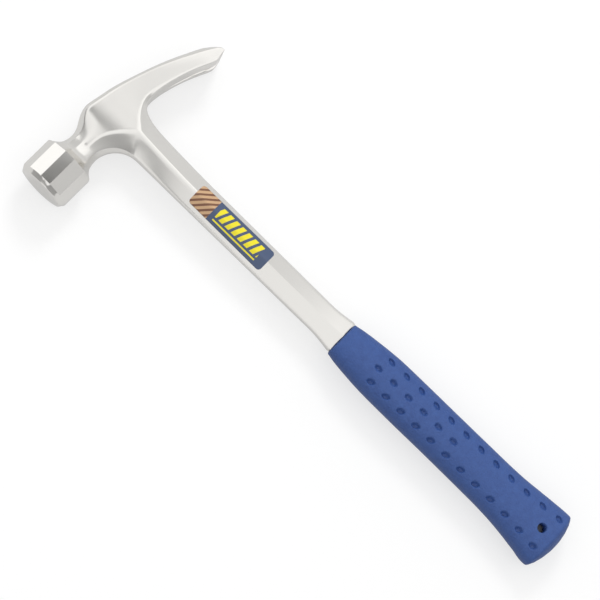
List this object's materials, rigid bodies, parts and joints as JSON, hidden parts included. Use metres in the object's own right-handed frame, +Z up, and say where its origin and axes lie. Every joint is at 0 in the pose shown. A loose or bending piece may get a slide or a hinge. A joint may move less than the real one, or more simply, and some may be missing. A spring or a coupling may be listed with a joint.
{
  "type": "framing hammer",
  "caption": "Framing hammer forged in one piece of steel with a faceted bell, a straight ripping claw and a dimpled vinyl grip with a hang hole.",
  "frame": {"origin": "centre of the hang hole, on the mid-plane of the hammer", "axes": "+X towards the claw, +Y up the handle towards the head, +Z up, out of the cheek that shows in the picture; the hammer lies on its side"},
  "size_m": [0.1449, 0.4064, 0.0356],
  "materials": {
    "steel": "polished forging with a satin grain",
    "vinyl": "moulded blue vinyl, satin, finely pebbled",
    "label": "printed film with a clear gloss coat"
  },
  "bodies": {
    "root": {"forging": "steel", "grip": "vinyl", "label": "label"}
  },
  "joints": []
}
